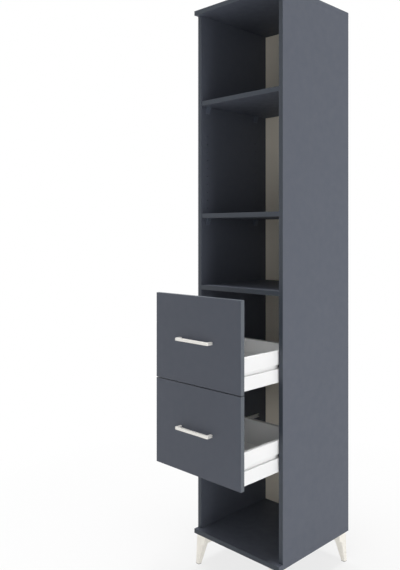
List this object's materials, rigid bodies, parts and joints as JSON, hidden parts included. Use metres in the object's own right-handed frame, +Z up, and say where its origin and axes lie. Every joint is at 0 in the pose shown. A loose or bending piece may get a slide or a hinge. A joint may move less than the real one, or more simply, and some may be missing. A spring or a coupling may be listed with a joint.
{
  "type": "tall storage cabinet",
  "caption": "Tall narrow open storage cabinet with loose shelves, pulled-out drawers with square bow handles on roller rails, and tapered square metal legs.",
  "frame": {"origin": "centre of the overall box in plan, with the drawers pulled out as in the picture, at floor level", "axes": "+Z up, -Y out of the open front, +X to the right seen from the front"},
  "size_m": [0.425, 0.678, 2.2],
  "materials": {
    "melamine_board": "matt anthracite melamine faced chipboard",
    "hardboard": "matt cream lacquered hardboard",
    "drawer_board": "matt light grey melamine faced chipboard",
    "beech": "plain turned beech",
    "white_steel": "white powder coat",
    "satin_nickel": "satin nickel plate",
    "zinc_steel": "bright zinc plate",
    "roller_plastic": "smooth dark moulded plastic",
    "glide_plastic": "matt moulded plastic",
    "bumper_plastic": "soft matt plastic",
    "support_plastic": "dark grey moulded plastic"
  },
  "bodies": {
    "carcass": {"side_left": "melamine_board", "side_right": "melamine_board", "top_panel": "melamine_board", "bottom_panel": "melamine_board", "fixed_shelf": "melamine_board", "shelf_upper": "melamine_board", "shelf_lower": "melamine_board", "back_panel": "hardboard", "shelf_supports_upper": "support_plastic", "shelf_supports_lower": "support_plastic", "dowels": "beech", "panel_screws": "zinc_steel", "cam_locks": "zinc_steel", "cam_bolts": "zinc_steel", "leg_front_left": "satin_nickel", "leg_front_right": "satin_nickel", "leg_back_left": "satin_nickel", "leg_back_right": "satin_nickel", "leg_glides": "glide_plastic", "leg_screws": "zinc_steel", "rail_lower_left": "white_steel", "rail_lower_right": "white_steel", "rail_upper_left": "white_steel", "rail_upper_right": "white_steel", "rail_roller_pins": "zinc_steel", "rail_screws": "zinc_steel"},
    "drawer_lower": {"drawer_lower_front": "melamine_board", "drawer_lower_handle": "satin_nickel", "drawer_lower_handle_screws": "zinc_steel", "drawer_lower_side_left": "white_steel", "drawer_lower_side_right": "white_steel", "drawer_lower_base": "drawer_board", "drawer_lower_back": "drawer_board", "drawer_lower_brackets": "zinc_steel", "drawer_lower_screws": "zinc_steel", "drawer_lower_bumpers": "bumper_plastic", "drawer_lower_roller_pins": "zinc_steel"},
    "drawer_upper": {"drawer_upper_front": "melamine_board", "drawer_upper_handle": "satin_nickel", "drawer_upper_handle_screws": "zinc_steel", "drawer_upper_side_left": "white_steel", "drawer_upper_side_right": "white_steel", "drawer_upper_base": "drawer_board", "drawer_upper_back": "drawer_board", "drawer_upper_brackets": "zinc_steel", "drawer_upper_screws": "zinc_steel", "drawer_upper_bumpers": "bumper_plastic", "drawer_upper_roller_pins": "zinc_steel"},
    "rail_roller_lower_left": {"rail_roller_lower_left": "roller_plastic"},
    "rail_roller_lower_right": {"rail_roller_lower_right": "roller_plastic"},
    "rail_roller_upper_left": {"rail_roller_upper_left": "roller_plastic"},
    "rail_roller_upper_right": {"rail_roller_upper_right": "roller_plastic"},
    "drawer_lower_roller_left": {"drawer_lower_roller_left": "roller_plastic"},
    "drawer_lower_roller_right": {"drawer_lower_roller_right": "roller_plastic"},
    "drawer_upper_roller_left": {"drawer_upper_roller_left": "roller_plastic"},
    "drawer_upper_roller_right": {"drawer_upper_roller_right": "roller_plastic"}
  },
  "joints": [
    {"name": "drawer_lower_slide", "type": "slide", "parent": "carcass", "child": "drawer_lower", "axis": [0, -1, 0], "range_m": [-0.202, 0.048]},
    {"name": "drawer_upper_slide", "type": "slide", "parent": "carcass", "child": "drawer_upper", "axis": [0, -1, 0], "range_m": [-0.202, 0.048]},
    {"name": "rail_roller_lower_left_spin", "type": "hinge", "parent": "carcass", "child": "rail_roller_lower_left", "pos_m": [-0.18905, -0.079, 0.5197], "axis": [1, 0, 0], "continuous": true},
    {"name": "drawer_lower_roller_left_spin", "type": "hinge", "parent": "drawer_lower", "child": "drawer_lower_roller_left", "pos_m": [-0.1886, 0.043, 0.51945], "axis": [1, 0, 0], "continuous": true},
    {"name": "rail_roller_lower_right_spin", "type": "hinge", "parent": "carcass", "child": "rail_roller_lower_right", "pos_m": [0.18905, -0.079, 0.5197], "axis": [1, 0, 0], "continuous": true},
    {"name": "drawer_lower_roller_right_spin", "type": "hinge", "parent": "drawer_lower", "child": "drawer_lower_roller_right", "pos_m": [0.1886, 0.043, 0.51945], "axis": [1, 0, 0], "continuous": true},
    {"name": "rail_roller_upper_left_spin", "type": "hinge", "parent": "carcass", "child": "rail_roller_upper_left", "pos_m": [-0.18905, -0.079, 0.8387], "axis": [1, 0, 0], "continuous": true},
    {"name": "drawer_upper_roller_left_spin", "type": "hinge", "parent": "drawer_upper", "child": "drawer_upper_roller_left", "pos_m": [-0.1886, 0.043, 0.83845], "axis": [1, 0, 0], "continuous": true},
    {"name": "rail_roller_upper_right_spin", "type": "hinge", "parent": "carcass", "child": "rail_roller_upper_right", "pos_m": [0.18905, -0.079, 0.8387], "axis": [1, 0, 0], "continuous": true},
    {"name": "drawer_upper_roller_right_spin", "type": "hinge", "parent": "drawer_upper", "child": "drawer_upper_roller_right", "pos_m": [0.1886, 0.043, 0.83845], "axis": [1, 0, 0], "continuous": true}
  ],
  "couplings": [
    {"joint": "rail_roller_lower_left_spin", "follows": "drawer_lower_slide", "rad_per_m": 144.93},
    {"joint": "drawer_lower_roller_left_spin", "follows": "drawer_lower_slide", "rad_per_m": -181.82},
    {"joint": "rail_roller_lower_right_spin", "follows": "drawer_lower_slide", "rad_per_m": 144.93},
    {"joint": "drawer_lower_roller_right_spin", "follows": "drawer_lower_slide", "rad_per_m": -181.82},
    {"joint": "rail_roller_upper_left_spin", "follows": "drawer_upper_slide", "rad_per_m": 144.93},
    {"joint": "drawer_upper_roller_left_spin", "follows": "drawer_upper_slide", "rad_per_m": -181.82},
    {"joint": "rail_roller_upper_right_spin", "follows": "drawer_upper_slide", "rad_per_m": 144.93},
    {"joint": "drawer_upper_roller_right_spin", "follows": "drawer_upper_slide", "rad_per_m": -181.82}
  ]
}
